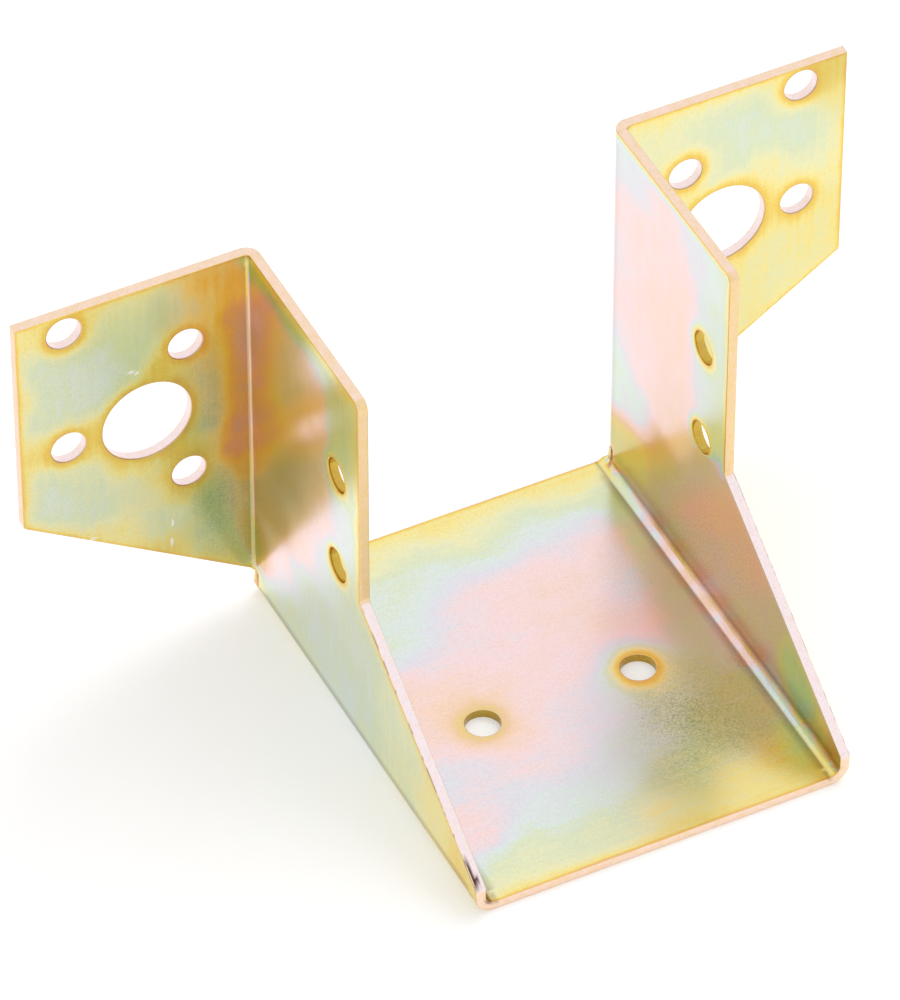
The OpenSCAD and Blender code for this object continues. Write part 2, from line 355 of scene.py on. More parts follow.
# ---- The plating film: how thick it lies at each place, and how drab ----
# Films run from 0, thinnest, to FILM_TOP: tan, gold, yellow, green, blue, lilac, pink, peach at 1, and
# then gold and green again.
# Drabness runs from 0, clear and pale, to 1, the dull olive and brown of a heavy coat; in the patches it is
# also painted shade and painted reflection, deepest on the left cheek's outside, the right cheek's lower
# part, the right of the seat and the right of the left flange.
# Each patch is (across, up, radius, film, drab), in millimetres: x and y on the seat, y and z on a
# cheek, x and z on a flange.
FILM_TOP = 1.6
FILM_PATCHES = {
    "seat_inside": [
        (-20, 54, 9, 0.30, 0), (4, 54, 9, 0.27, 0), (28, 54, 9, 0.25, 0.04), (-14, 43, 10, 0.54, 0),
        (8, 45, 8, 0.52, 0), (24, 43, 9, 0.68, 0), (-26, 30, 12, 0.55, 0), (-4, 24, 14, 0.86, 0),
        (20, 26, 12, 0.90, 0), (33, 33, 8, 0.88, 0.02), (40, 42, 6, 0.54, 0.08), (41, 30, 4, 0.55, 0.05),
        (37, 18, 9, 0.64, 0), (-30, 2, 12, 0.94, 0), (-4, 2, 12, 0.84, 0), (24, 4, 9, 0.93, 0.03),
        (37, -2, 8, 0.64, 0.02), (4, -16, 8, 0.68, 0.03), (-28, -22, 9, 0.74, 0), (-12, -22, 9, 0.80, 0),
        (-20, -36, 8, 0.60, 0), (-36, -36, 7, 0.84, 0), (-6, -36, 8, 0.64, 0.08), (-30, -49, 7, 0.45, 0),
        (-8, -48, 8, 0.48, 0.04), (10, -30, 7, 0.60, 0.18), (20, -26, 8, 0.56, 0.36),
        (28, -16, 7, 0.54, 0.12), (28, -34, 8, 0.52, 0.22), (14, -42, 7, 0.46, 0.38),
        (40, -28, 7, 0.50, 0.13), (24, -49, 8, 0.32, 0.05), (38, -48, 6, 0.32, 0.22),
        (6, -52, 6, 0.33, 0.12), (45, 51, 3, 0.40, 0.20), (45, 42, 3, 0.50, 0.14),
        (45, 33, 3, 0.86, 0.30), (45, 24, 3, 1.02, 0.31), (45, 14, 3, 1.14, 0.30), (45, 4, 3, 1.16, 0.28),
        (45, -6, 3, 1.02, 0.28), (45, -16, 3, 0.92, 0.28), (45, -26, 3, 0.82, 0.32),
        (45, -36, 3, 0.66, 0.24), (45, -44, 3, 0.46, 0.24), (45, -52, 3, 0.30, 0.32)],
    "cheek_outside_left": [
        (22, 105, 6, 0.60, 0.05), (32, 105, 4, 0.52, 0.40), (40, 105, 5, 0.52, 0.58),
        (48, 105, 5, 0.52, 0.60), (6, 97, 7, 0.47, 0.36), (8, 86, 6, 0.47, 0.26), (26, 95, 7, 0.92, 0.28),
        (46, 95, 8, 1.14, 0.36), (32, 82, 8, 1.10, 0.28), (48, 77, 8, 1.26, 0.36),
        (22, 80, 6, 0.96, 0.22), (38, 70, 7, 1.20, 0.34), (47, 58, 8, 1.24, 0.36),
        (28, 64, 7, 1.06, 0.28), (38, 54, 7, 1.10, 0.35), (50, 38, 7, 1.14, 0.42),
        (42, 40, 6, 1.04, 0.35), (53, 20, 5, 1.42, 0.55), (4, 74, 6, 0.60, 0), (8, 62, 6, 0.64, 0),
        (20, 58, 6, 0.88, 0), (30, 42, 7, 0.90, 0), (44, 22, 7, 0.80, 0), (18, 40, 6, 0.62, 0.04),
        (4, 36, 7, 0.54, 0.06), (22, 24, 9, 0.54, 0.12), (38, 11, 7, 0.50, 0.12), (0, 16, 9, 0.52, 0.12),
        (-14, 22, 7, 0.44, 0), (-20, 12, 8, 0.46, 0.10), (-36, 12, 7, 0.32, 0.02),
        (-48, 7, 6, 0.26, 0.10), (54, 104, 4, 0.54, 0.50), (54, 92, 4, 1.02, 0.18),
        (54, 74, 4, 1.02, 0.16), (54, 56, 4, 1.02, 0.18), (54, 42, 4, 1.04, 0.24)],
    "cheek_inside_right": [
        (5, 100, 6, 0.56, 0.06), (16, 100, 7, 0.68, 0.06), (30, 98, 8, 0.84, 0.06),
        (48, 100, 8, 0.66, 0.06), (8, 88, 6, 0.57, 0.12), (24, 86, 9, 0.88, 0.06),
        (44, 86, 9, 0.86, 0.06), (34, 76, 9, 0.92, 0.07), (50, 74, 8, 0.74, 0.06),
        (10, 64, 7, 0.56, 0.12), (24, 62, 9, 0.92, 0.08), (42, 64, 8, 0.86, 0.07), (3, 52, 5, 0.36, 0.30),
        (26, 46, 8, 0.94, 0.12), (44, 48, 8, 0.84, 0.06), (52, 38, 6, 0.58, 0.06),
        (44, 32, 6, 0.62, 0.14), (6, 36, 8, 1.18, 0.52), (-8, 28, 8, 1.20, 0.54), (12, 22, 9, 1.20, 0.58),
        (30, 22, 8, 1.22, 0.60), (24, 10, 8, 1.24, 0.66), (42, 17, 6, 1.30, 0.38),
        (51, 12, 5, 1.34, 0.35), (-22, 20, 7, 1.18, 0.54), (-12, 10, 7, 1.20, 0.54),
        (-34, 16, 5, 1.36, 0.35), (-39, 9, 5, 1.45, 0.35), (-47, 8, 4, 1.28, 0.40),
        (-56, 6, 4, 1.15, 0.65), (2, 44, 4, 1.24, 0.42), (48, 3, 2, 0.50, 0.22), (36, 3, 2, 0.84, 0.34),
        (26, 3, 2, 1.02, 0.36), (14, 3, 2, 1.14, 0.36), (2, 3, 2, 1.12, 0.34), (-10, 3, 2, 1.00, 0.34),
        (-22, 3, 2, 0.88, 0.36), (-34, 3, 2, 0.66, 0.32), (-44, 3, 2, 0.40, 0.42)],
    "flange_outside_left": [
        (-101, 106, 5, 0.36, 0), (-99, 93, 7, 0.56, 0.04), (-87, 96, 6, 0.54, 0.03),
        (-98, 80, 7, 0.53, 0.02), (-85, 86, 7, 0.58, 0.02), (-78, 102, 6, 0.46, 0.08),
        (-76, 93, 6, 0.50, 0.08), (-67, 99, 6, 0.48, 0.24), (-60, 103, 4, 0.20, 0.20),
        (-60, 97, 4, 0.32, 0.26), (-106, 86, 5, 0.24, 0), (-102, 68, 5, 0.25, 0), (-97, 68, 3, 0.32, 0),
        (-87, 67, 4, 0.30, 0), (-79, 55, 4, 0.24, 0.04), (-69, 82, 4, 0.16, 0.10), (-66, 56, 3, 0.12, 0.12),
        (-66, 41, 3, 0.26, 0.38), (-99, 58, 6, 0.52, 0.03), (-88, 55, 5, 0.48, 0.04),
        (-97, 51, 5, 0.56, 0.02), (-84, 48, 6, 0.50, 0.05), (-75, 44, 6, 0.40, 0.14),
        (-80, 37, 5, 0.30, 0.02), (-70, 35, 5, 0.46, 0.20), (-67, 27, 4, 0.28, 0.34),
        (-50, 98, 4, 0.14, 0.20), (-52, 105, 4, 0.24, 0.28), (-49, 90, 4.0, 0.05, 0.34),
        (-49, 82, 4.0, 0.045, 0.38), (-49, 74, 4.0, 0.045, 0.40), (-49, 66, 4.0, 0.045, 0.40),
        (-49, 58, 4.0, 0.05, 0.42), (-49, 50, 4.0, 0.08, 0.38), (-49, 42, 4.0, 0.24, 0.50),
        (-50, 35, 3.5, 0.40, 0.58), (-60, 80, 5, 0.40, 0.46), (-60, 72, 5, 0.48, 0.50),
        (-60, 63, 5, 0.50, 0.52), (-60, 55, 3, 0.32, 0.42), (-58, 40, 4, 0.48, 0.60),
        (-55, 33, 5, 0.46, 0.60), (-61, 28, 4, 0.46, 0.46), (-51, 27, 4, 0.42, 0.55),
        (-53, 21, 5, 0.40, 0.55), (-55, 40, 3, 0.46, 0.65), (-72, 49, 3, 0.28, 0.16)],
    "flange_outside_right": [
        (101, 103, 5, 0.22, 0.50), (103, 95, 5, 0.34, 0.23), (84, 101, 6, 0.50, 0.13),
        (70, 99, 8, 0.46, 0.09), (58, 101, 6, 0.36, 0.09), (80, 91, 7, 0.52, 0.09),
        (95, 88, 6, 0.52, 0.11), (58, 88, 6, 0.40, 0.09), (100, 79, 6, 0.42, 0.09),
        (84, 80, 5, 0.36, 0.09), (99, 58, 7, 0.34, 0.17), (86, 54, 7, 0.33, 0.16),
        (76, 44, 7, 0.32, 0.16), (60, 34, 8, 0.36, 0.16)],
}
REST_FILM, REST_DRAB, REST_WEIGHT = 0.55, 0.1, 0.02        # where no patch reaches, and its pull
# The skins that have no patches: their film and drabness, and how far and how broadly noise moves them.
PLAIN_FILM, PLAIN_FILM_SWING, PLAIN_FILM_SCALE = 0.52, 0.5, 44
PLAIN_DRAB, PLAIN_DRAB_SWING, PLAIN_DRAB_SCALE, PLAIN_DRAB_MOST = 0.14, 0.3, 40, 0.5
PLAIN_OCTAVES = 2
DRIFT_SCALE, SMALL_SCALE = 26, 7           # of the bath's drift and of the smaller unevenness,
PLAIN_DRIFT, PATCH_DRIFT, SMALL_SWING = 0.08, 0.05, 0.03       # and what they add to the film
FILM_LEAST = 0.02
# Above SECOND_ORDER, edges turn up to the second gold and brown, and not down to the first gold.
SECOND_ORDER, SECOND_GOLD, SECOND_BROWN = 1.02, 1.25, 1.15
RIM_FILM, RIM_REACH = 0.27, 3.0            # in the gold band along the outer edges
LINE_FILM, LINE_REACH = 0.06, 0.5          # and in the tan line at the very edge
HALO_FILM, HALO_REACH = 0.20, 3.6          # in the yellow halo round the holes
RING_FILM, RING_REACH = 0.13, 1.3          # and in the tan ring at their very edge
HOLE_WIDTH = {"flange": 0.9, "cheek": 0.5, "seat": 1.15}     # of the halo, for the holes of each panel
RIGHT_CHEEK_RIM = 0.45                     # the gold band's share of its width on the right cheek
RIM_DRIFT, RIM_SMALL, LINE_SMALL, HALO_SMALL = 0.5, 0.4, 0.4, 0.25     # how uneven those widths are
RIM_FALL, LINE_FALL, HALO_FALL = 1.6, 2, 1.5           # and how sharply they end
RING_DRAB, RING_DRAB_PULL = 0.5, 0.3       # drabness of the tan ring, and how far it takes over

# Dark grain: everywhere a little, and more in patches (panel, across, up, half sizes, more).
PEPPER_REST = 0.2
PEPPER_PATCHES = [("seat_inside", 28, -26, 17, 30, 0.8), ("seat_inside", 39, 20, 6, 34, 0.6),
                  ("cheek_inside_right", 0, 16, 40, 22, 0.3)]

# The bending tool's dark lines: how dark, how wide and how far inside the ends of a bend.
SEAT_LINE, SEAT_LINE_W, SEAT_LINE_IN = 0.45, 0.45, 0.15
FLANGE_LINE, FLANGE_LINE_W, FLANGE_LINE_IN = 0.12, 0.35, 0.1
CORNER_SHADE_DARK, CORNER_SHADE_DOWN, CORNER_SHADE_ACROSS = 0.7, 1.3, 0.45     # painted shade in the inner corners at the tops of the flange bends: darkness, depth and share of the bend

# Colour of the cut edge: 0 yellow, 0.5 peach, 1 pale pink.
EDGE_REST, EDGE_UPRIGHT, EDGE_SLOPE, EDGE_HOLES = 0.45, 0.2, 0.95, 0.8
BORE_FILM, BORE_DRAB, SEAT_BORE_SHADE = 0.20, 0.75, 0.3          # in the plated holes of seat and cheeks, the last being painted shade on the walls of the seat's holes
NUDGE = 0.1             # tolerance on the blank when picking points of an edge
FOLD_CLEAR = 1          # the uprights' tone stops this far before the fold
TEAR_AT, TEAR_HALF = 0.06, 0.05    # place and half length of the tear, as shares of the slope
TEAR_DEPTH = 0.5        # in millimetres
TEAR_EDGE = 1.4         # above 1, so that the tear has a full middle
TEAR_LINE_WS, TEAR_GAP_WS = (0.3, 0.8), (-0.4, 0.3)             # where the line and the gap cut the wall
TEAR_LEAST, TEAR_MOST = 0.6, 1.4                                # of the gap's ragged depth
TEAR_GAP_DARK, TEAR_RAGGED_DARK, TEAR_DARK_MOST = 0.8, 1.5, 0.95
# The dark wedge of painted shade inside the left bend, behind the tear: length, half widths at its tip and
# added at its root, and fading.
WEDGE_L, WEDGE_TIP, WEDGE_SPREAD, WEDGE_FADE, WEDGE_SHADE = 9, 0.3, 1.6, 2.5, 0.7
LIP_W = 1.0             # the shear marks and the painted lip shade lie on the rings outside this offset
DASH_SCALE, DASH_GAIN, DASH_SHIFT, DASH_MOST = 1.6, 1.6, 0.05, 0.55
# Painted shade on the lower lip of the flange holes: its darkness, and its shift up the rim.
HOLE_LIP_SHADE, HOLE_LIP_SHADE_SHIFT = 0.45, 0.2

# Each noise has its own seed, which moves it by so many steps.
DRIFT_SEED, SMALL_SEED, DRAB_SEED, FILM_SEED, RAGGED_SEED, DASH_SEED = 1, 2, 3, 4, 6, 9
SEED_STEPS = (17.3, 5.1, 9.7)
OCTAVES, OCTAVE_FALL, OCTAVE_STEP = 3, 1.0, 2.0


def smooth_noise(points, scale, seed, octaves=OCTAVES):
    """Perlin noise of about -1 to 1 at each of the points, with features scale across."""
    offset = Vector([seed * step for step in SEED_STEPS])
    return np.array([noise.fractal(Vector(p) / scale + offset, OCTAVE_FALL, OCTAVE_STEP, octaves)
                     for p in points])


def panel_places(flat, w):
    """For each panel with patches, which points lie on that skin of it, and their two coordinates."""
    s, y = flat[:, 0], flat[:, 1]
    z = np.abs(s) - cheek_s(0)
    outside, left = w > 0, s < 0
    on_flange = (y > fold_y + flange_arc / 2) & (z > relief_top_z)
    on_cheek = (np.abs(s) > flat_x + seat_arc / 2) & ~on_flange
    x = np.where(left, -1, 1) * flange_x(y)
    return {
        "seat_inside": (~outside & ~on_cheek & ~on_flange, s, y),
        "cheek_outside_left": (outside & left & on_cheek, y, z),
        "cheek_inside_right": (~outside & ~left & on_cheek, y, z),
        "flange_outside_left": (outside & left & on_flange, x, z),
        "flange_outside_right": (outside & ~left & on_flange, x, z),
    }


def pepper(flat, w):
    """How strongly the film is peppered with dark grain: most where the seat and right cheek are worn."""
    places = panel_places(flat, w)
    amount = np.full(len(flat), PEPPER_REST)
    for name, pa, pb, half_a, half_b, more in PEPPER_PATCHES:
        where, a, b = places[name]
        near = np.exp(-((a - pa) / half_a) ** 2 - ((b - pb) / half_b) ** 2)
        amount += np.where(where, more * near, 0)
    return amount


def bend_marks(flat, w):
    """Dark lines that the tool left along each bend, faint on the flanges', and painted shade in the inner
    corners at their tops.
    """
    s, y = np.abs(flat[:, 0]), flat[:, 1]
    lines = [s - flat_x - SEAT_LINE_IN, s - flat_x - seat_arc + SEAT_LINE_IN]
    marks = SEAT_LINE * sum(np.exp(-(d / SEAT_LINE_W) ** 2) for d in lines)
    on_cheek = s > flat_x + seat_arc
    lines = [y - fold_y - FLANGE_LINE_IN, y - fold_y - flange_arc + FLANGE_LINE_IN]
    faint = FLANGE_LINE * sum(np.exp(-(d / FLANGE_LINE_W) ** 2) for d in lines)
    top, middle = cheek_s(top_z) - s, y - fold_y - 0.5 * flange_arc
    # Painted shade where the flange bend's inner corner meets the top edge.
    corner_shade = CORNER_SHADE_DARK * np.exp(-(top / CORNER_SHADE_DOWN) ** 2 - (middle / (CORNER_SHADE_ACROSS * flange_arc)) ** 2)
    return np.where(on_cheek, np.maximum(faint, np.where(w > 0, corner_shade, 0)), marks)


def film(flat, w, real, rim_d, holes):
    """Film thickness and drabness at each point: patches, the drift of the bath, edges and holes."""
    drift = smooth_noise(real, DRIFT_SCALE, DRIFT_SEED)
    small = smooth_noise(real, SMALL_SCALE, SMALL_SEED)
    broad = smooth_noise(real, PLAIN_FILM_SCALE, FILM_SEED, PLAIN_OCTAVES)
    level = PLAIN_FILM + PLAIN_FILM_SWING * broad + PLAIN_DRIFT * drift
    broad = smooth_noise(real, PLAIN_DRAB_SCALE, DRAB_SEED, PLAIN_OCTAVES)
    drab = np.clip(PLAIN_DRAB + PLAIN_DRAB_SWING * broad, 0, PLAIN_DRAB_MOST)
    places = panel_places(flat, w)
    for name, (where, a, b) in places.items():
        film_sum = REST_FILM * REST_WEIGHT
        drab_sum = REST_DRAB * REST_WEIGHT
        weight = REST_WEIGHT
        # A patch's drabness is partly the coat's own dullness and partly painted shade and painted
        # reflection.
        for pa, pb, radius, value, dull in FILM_PATCHES[name]:
            near = np.exp(-((a - pa) ** 2 + (b - pb) ** 2) / radius ** 2)
            film_sum = film_sum + near * value
            drab_sum = drab_sum + near * dull
            weight = weight + near
        level = np.where(where, film_sum / weight + PATCH_DRIFT * drift, level)
        drab = np.where(where, drab_sum / weight, drab)
    level = np.clip(level + SMALL_SWING * small, FILM_LEAST, FILM_TOP)
    reach = RIM_REACH * np.where(places["cheek_inside_right"][0], RIGHT_CHEEK_RIM, 1)
    rim = np.exp(-(rim_d / (reach * (1 + RIM_DRIFT * drift + RIM_SMALL * small))) ** RIM_FALL)
    level += (np.where(level > SECOND_ORDER, SECOND_GOLD, RIM_FILM) - level) * rim
    line = np.exp(-(rim_d / (LINE_REACH * (1 + LINE_SMALL * small))) ** LINE_FALL)
    level += (LINE_FILM - level) * line
    for s, y, r, kind in holes:
        d = np.abs(np.hypot(flat[:, 0] - s, flat[:, 1] - y) - r) / HOLE_WIDTH[kind]
        second = (level > SECOND_ORDER) | (kind == "seat" and s < 0)
        for reach, first_film, second_film in (
                (HALO_REACH, HALO_FILM, SECOND_GOLD), (RING_REACH, RING_FILM, SECOND_BROWN)):
            near = np.exp(-(d / (reach * (1 + HALO_SMALL * small))) ** HALO_FALL)
            level += (np.where(second, second_film, first_film) - level) * near
        drab = drab + (RING_DRAB - drab) * near * RING_DRAB_PULL
    return level, drab


def edge_tone(points):
    """Colour of the outline's cut edge at each of its points."""
    s, y = np.abs(points[:, 0]), points[:, 1]
    on_upright = (y > upright_y - NUDGE) & (y < fold_y - FOLD_CLEAR) & (s < cheek_s(top_z) - NUDGE)
    on_slope = (y < upright_y - 2 * NUDGE) & (s > cheek_s(slope_end_z) - NUDGE)
    tone = np.full(len(points), EDGE_REST)
    tone[on_upright] = EDGE_UPRIGHT
    tone[on_slope] = EDGE_SLOPE
    return tone


def tear(edge):
    """The short tear at the foot of the left slope: its fine line, and the gap where it opened."""
    s, y = edge[:, 0], edge[:, 1]
    foot = (y - front_y) / (upright_y - front_y)
    on_slope = (s < -cheek_s(slope_end_z) + NUDGE) & (y < upright_y)
    line = np.where(on_slope, np.clip(TEAR_EDGE - abs(foot - TEAR_AT) / TEAR_HALF, 0, 1), 0)
    return line, np.where(foot < TEAR_AT, line, 0)


def painted_bend_shade(flat, w):
    """The dark wedge of painted shade inside the left bend, from the front edge back."""
    s, y = flat[:, 0], flat[:, 1]
    reach = np.clip(1 - (y - front_y) / WEDGE_L, 0, 1)
    across = np.exp(-((s + flat_x + 0.5 * seat_arc) / (WEDGE_TIP + WEDGE_SPREAD * reach)) ** 2)
    dark = WEDGE_SHADE * across * np.clip(WEDGE_FADE * reach, 0, 1)
    return np.where((w < 0) & (s < 0) & (y > front_y), dark, 0)


def shear_marks_and_lip_shade(loops, holes):
    """Dark marks along the outer lip of the cut: shear dashes on the slopes, and painted shade low down in
    the flange holes.
    """
    rim = loops[0]
    slope = (rim[:, 1] < upright_y - 2 * NUDGE) & (np.abs(rim[:, 0]) > cheek_s(slope_end_z) - NUDGE)
    dash = smooth_noise(np.column_stack([rim, rim[:, 0]]), DASH_SCALE, DASH_SEED)
    marks = [np.where(slope, np.clip(DASH_GAIN * (dash + DASH_SHIFT), 0, DASH_MOST), 0)]
    for loop, (s, _, r, kind) in zip(loops[1:], holes):
        low = (abs(s) - np.abs(loop[:, 0])) / r
        marks.append(np.clip(low + HOLE_LIP_SHADE_SHIFT, 0, 1) * (HOLE_LIP_SHADE if kind == "flange" else 0))
    return np.concatenate(marks)


def of_holes(loops, holes, kinds):
    """Which points, of all the loops in order, lie on the rims of holes in these kinds of panel."""
    marks = [np.full(len(loops[0]), False)]
    marks += [np.full(len(loop), kind in kinds) for loop, (_, _, _, kind) in zip(loops[1:], holes)]
    return np.concatenate(marks)


def edge_rings(edge, ins, plated, line, gap, ragged):
    """The rings of the cut edge between the skins: blank points, offset, and how bare each point is."""
    made = []
    for d, w in EDGE_PROFILE[1:-1]:
        on_wall = abs(w) < half_t - WALL_MARGIN
        in_line = TEAR_LINE_WS[0] < w < TEAR_LINE_WS[1]
        in_gap = TEAR_GAP_WS[0] < w < TEAR_GAP_WS[1]
        torn = line * in_line + gap * in_gap * (TEAR_LEAST + ragged)
        d = d + on_wall * (RAGGED * (1 + ragged) + TEAR_DEPTH * np.clip(torn, 0, TEAR_MOST))
        made.append((edge + ins * np.reshape(d, (-1, 1)), w, np.where(plated, 0.0, float(on_wall))))
    return made


def edge_faces(loops, rings):
    """The faces of the cut edge, from each ring to the next one."""
    faces, first = [], 0
    for loop in loops:
        here = first + np.arange(len(loop))
        ahead = np.roll(here, -1)
        for upper, lower in zip(rings, rings[1:]):
            faces += list(zip(upper[ahead], upper[here], lower[here], lower[ahead]))
        first += len(loop)
    return faces


def build_sheet():
    """The folded sheet: two skins over the same triangles, and rings of edge between them."""
    holes = hole_places()
    loops = [outline()] + [circle(*h[:3]) for h in holes]
    blank, tris = triangulate(loops, face_points(loops))
    edge = np.concatenate(loops)
    count = len(edge)
    ins = np.concatenate([inward(loop) for loop in loops])
    plated = of_holes(loops, holes, ("cheek", "seat"))
    line, gap = tear(edge)
    ragged = smooth_noise(np.column_stack([edge, np.zeros(count)]), RAGGED_SCALE, RAGGED_SEED)

    back = blank.copy()
    back[:count] = edge + ins * EDGE_PROFILE[-1][0]
    bare = np.zeros(len(blank))
    between = edge_rings(edge, ins, plated, line, gap, ragged)
    layers = [(blank, half_t, bare), *between, (back, -half_t, bare)]
    starts = np.cumsum([0] + [len(points) for points, _, _ in layers[:-1]])
    rings = [start + np.arange(count) for start in starts]
    faces = [tuple(t) for t in tris]
    faces += [tuple(starts[-1] + t[::-1]) for t in tris]
    faces += edge_faces(loops, rings)
    flat = np.concatenate([points for points, _, _ in layers])
    w = np.concatenate([np.full(len(points), offset) for points, offset, _ in layers])
    wall = np.concatenate([bare for _, _, bare in layers])

    real = fold(flat, w)
    level, drab = film(flat, w, real, distance(flat, loops[:1]), holes)
    # Painted shade, in the left bend's wedge and at the top corners of the flange bends, joins the bending
    # tool's lines here.
    dark = np.maximum(painted_bend_shade(flat, w), bend_marks(flat, w))
    lip_marks_and_shade = shear_marks_and_lip_shade(loops, holes)
    tone = np.full(count, EDGE_HOLES)
    tone[:len(loops[0])] = edge_tone(loops[0])
    # Painted shade on the walls inside the seat's holes.
    bore_shade = SEAT_BORE_SHADE * of_holes(loops, holes, ("seat",))[plated]
    for ring, (_, w_ring) in zip(rings[1:-1], EDGE_PROFILE[1:-1]):
        bore, cut = ring[plated], ring[~plated]
        level[cut] = np.where(wall[cut] > 0, tone[~plated], level[cut])
        if LIP_W < w_ring < half_t:
            dark[ring] = lip_marks_and_shade
        elif w_ring > TEAR_GAP_WS[0]:
            opened = gap * (TEAR_GAP_DARK + TEAR_RAGGED_DARK * ragged)
            dark[ring] = np.clip(line * (w_ring > TEAR_LINE_WS[0]) + opened, 0, TEAR_DARK_MOST)
        if abs(w_ring) < half_t - WALL_MARGIN:
            level[bore] = BORE_FILM
            drab[bore] = BORE_DRAB
            dark[bore] = bore_shade

    mesh = bpy.data.meshes.new("folded_sheet")
    mesh.from_pydata([tuple(p) for p in np.clip(real, low, high) * MM], [], faces)
    for name, values in (("film", level), ("drab", drab), ("wall", wall), ("dark", dark),
                         ("pepper", pepper(flat, w)), ("across", flat[:, 1]), ("along", flat[:, 0])):
        mesh.attributes.new(name, "FLOAT", "POINT").data.foreach_set("value", values.astype(np.float32))
    mesh.shade_smooth()
    return place_in_scene("folded_sheet", mesh)


# ---- Materials ----
FILM_COLOURS = [          # film thickness and its colour where it is clear, sRGB
    (0.00, (0.93, 0.78, 0.72)), (0.08, (0.96, 0.77, 0.54)), (0.18, (0.98, 0.84, 0.40)),
    (0.30, (0.99, 0.925, 0.62)), (0.40, (0.95, 0.94, 0.76)), (0.50, (0.89, 0.92, 0.79)),
    (0.60, (0.89, 0.93, 0.91)), (0.70, (0.91, 0.90, 0.93)), (0.82, (0.99, 0.88, 0.88)),
    (1.00, (0.99, 0.86, 0.77)), (1.12, (0.97, 0.83, 0.67)), (1.25, (0.97, 0.87, 0.50)),
    (1.40, (0.85, 0.89, 0.66)), (1.60, (0.80, 0.87, 0.76))]
DRAB_COLOURS = [          # and where it is drab
    (0.00, (0.62, 0.46, 0.38)), (0.08, (0.71, 0.50, 0.31)), (0.18, (0.77, 0.62, 0.25)),
    (0.30, (0.74, 0.66, 0.22)), (0.40, (0.62, 0.63, 0.21)), (0.50, (0.46, 0.56, 0.23)),
    (0.60, (0.46, 0.56, 0.42)), (0.70, (0.56, 0.50, 0.44)), (0.82, (0.70, 0.48, 0.36)),
    (1.00, (0.75, 0.50, 0.31)), (1.12, (0.72, 0.50, 0.24)), (1.25, (0.70, 0.57, 0.17)),
    (1.40, (0.44, 0.53, 0.20)), (1.60, (0.40, 0.50, 0.30))]
EDGE_COLOURS = [          # tone of the cut edge and its colour
    (0.00, (0.96, 0.84, 0.56)), (0.25, (0.97, 0.85, 0.68)), (0.50, (0.99, 0.88, 0.80)),
    (0.80, (0.99, 0.91, 0.90)), (1.00, (0.99, 0.93, 0.94))]
MARK_AND_SHADE_COLOUR = (0.33, 0.14, 0.08)           # of the dark marks, and of the painted shade in corners, bends and holes
SPECK_SHADES = [(0.3, (0.96, 0.96, 0.96)), (0.6, (1, 1, 1))]

# Noise in the material: the size of its features in millimetres, its detail and what it adds.
MOTTLE, MOTTLE_DETAIL, MOTTLE_FILM = 5.0, 4, 0.13
GRAIN, GRAIN_DETAIL, GRAIN_FILM = 0.9, 3, 0.07
ROLLED, ROLLED_DETAIL, ROLLED_FILM = 1.4, 3, 0.16      # streaks along the sheet's rolling,
ROLLING = 0.05                                         # whose width is this share of their length
SPECK, SPECK_DETAIL = 0.45, 2
SPOT_BASE, SPOT_GAIN = 0.1, 5.0                        # of the dark grain, which grows with drabness
SHEAR, SHEAR_DETAIL, SHEAR_TONE = 1.6, 3, 0.7          # streaks on the cut edge
NOISE_ROUGHNESS = 0.55
SMOOTHEST, MOTTLE_ROUGH, BARE_ROUGH = 0.17, 0.10, 0.16         # roughness, and what is added to it
BUMP_STRENGTH, BUMP_M, SPECK_BUMP = 0.12, 0.00006, 0.5

SCUFF_COLOUR = (0.97, 0.97, 0.95)
SCUFF_JAG, SCUFF_JAG_DETAIL, SCUFF_JAG_SWING = 0.5, 2, 2.2
SCUFFS = [(-77, 84, 0.9, 0.5), (-75.8, 83.2, 0.5, 0.5), (-68, 33, 0.35, 1.1), (-68.4, 27, 0.35, 1.4),
          (-88, 36.5, 1.2, 0.3)]      # across, up, and half sizes, on the outside of the left flange


def linear(colour):
    """A colour as shader sockets want it, with the sRGB curve taken off and alpha 1."""
    return tuple(c / 12.92 if c < 0.04045 else ((c + 0.055) / 1.055) ** 2.4 for c in colour) + (1.0,)


